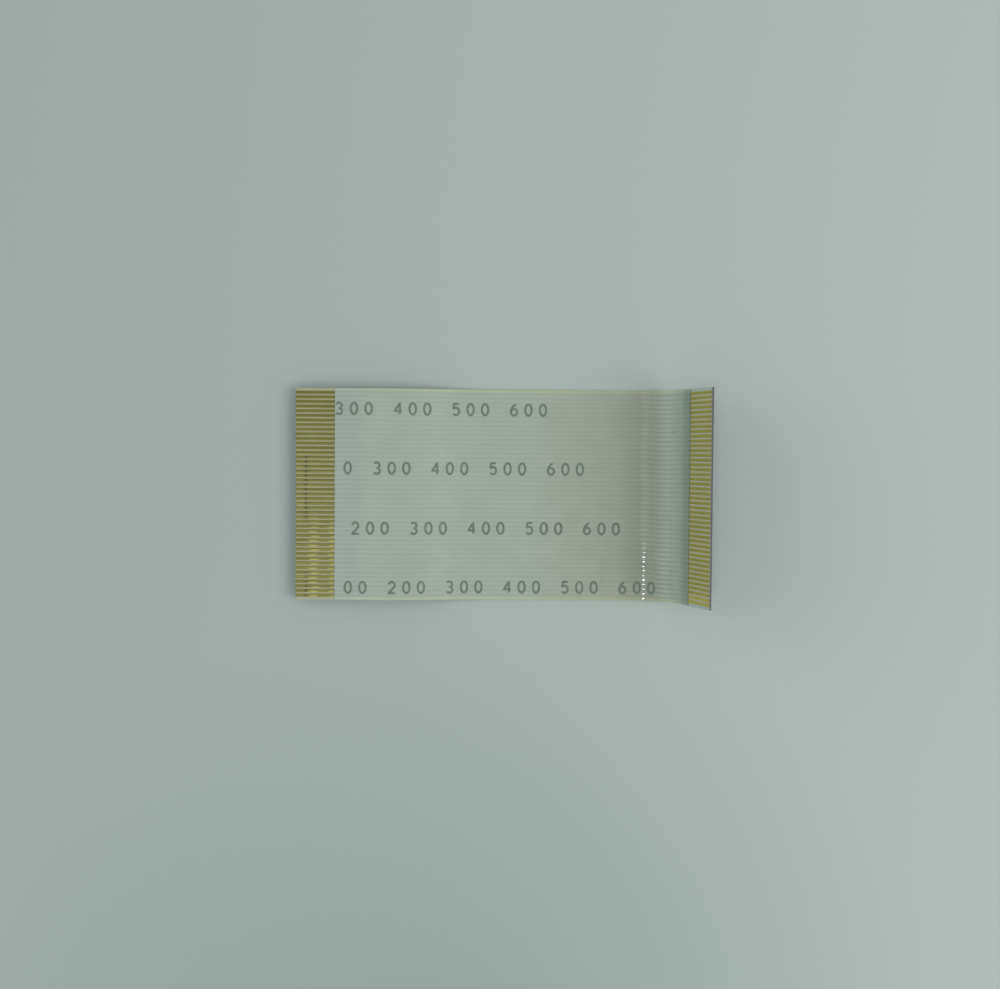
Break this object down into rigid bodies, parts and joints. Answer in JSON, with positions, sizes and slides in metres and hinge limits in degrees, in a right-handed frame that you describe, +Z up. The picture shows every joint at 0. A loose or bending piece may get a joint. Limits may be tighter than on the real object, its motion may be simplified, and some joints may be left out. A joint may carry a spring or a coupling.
{
  "type": "ribbon cable",
  "caption": "Short flat flexible ribbon cable with pale ribbed film and bare gold contacts on blue stiffened tabs; the right tab is bent upwards.",
  "frame": {"origin": "on the table under the middle of the cable's outline: the flat stretch's underside is at Z 0, and X and Y are centred", "axes": "+X runs along the cable from the flat left tab towards the tab that is bent up, +Y runs across the cable, +Z is up from the table"},
  "size_m": [0.044, 0.023, 0.0088],
  "materials": {
    "ribbed_film": "satin translucent polyester film",
    "base_film": "satin translucent polyester film",
    "conductor": "thin gold plating over nickel and copper",
    "stiffener": "satin blue polyester"
  },
  "bodies": {
    "root": {"upper_film": "ribbed_film", "lower_film": "base_film", "left_stiffener": "stiffener", "right_stiffener": "stiffener", "conductor_01": "conductor", "conductor_02": "conductor", "conductor_03": "conductor", "conductor_04": "conductor", "conductor_05": "conductor", "conductor_06": "conductor", "conductor_07": "conductor", "conductor_08": "conductor", "conductor_09": "conductor", "conductor_10": "conductor", "conductor_11": "conductor", "conductor_12": "conductor", "conductor_13": "conductor", "conductor_14": "conductor", "conductor_15": "conductor", "conductor_16": "conductor", "conductor_17": "conductor", "conductor_18": "conductor", "conductor_19": "conductor", "conductor_20": "conductor", "conductor_21": "conductor", "conductor_22": "conductor", "conductor_23": "conductor", "conductor_24": "conductor", "conductor_25": "conductor", "conductor_26": "conductor", "conductor_27": "conductor", "conductor_28": "conductor", "conductor_29": "conductor", "conductor_30": "conductor", "conductor_31": "conductor", "conductor_32": "conductor", "conductor_33": "conductor", "conductor_34": "conductor", "conductor_35": "conductor", "conductor_36": "conductor", "conductor_37": "conductor", "conductor_38": "conductor", "conductor_39": "conductor", "conductor_40": "conductor", "conductor_41": "conductor", "conductor_42": "conductor", "conductor_43": "conductor", "conductor_44": "conductor", "conductor_45": "conductor"}
  },
  "joints": []
}
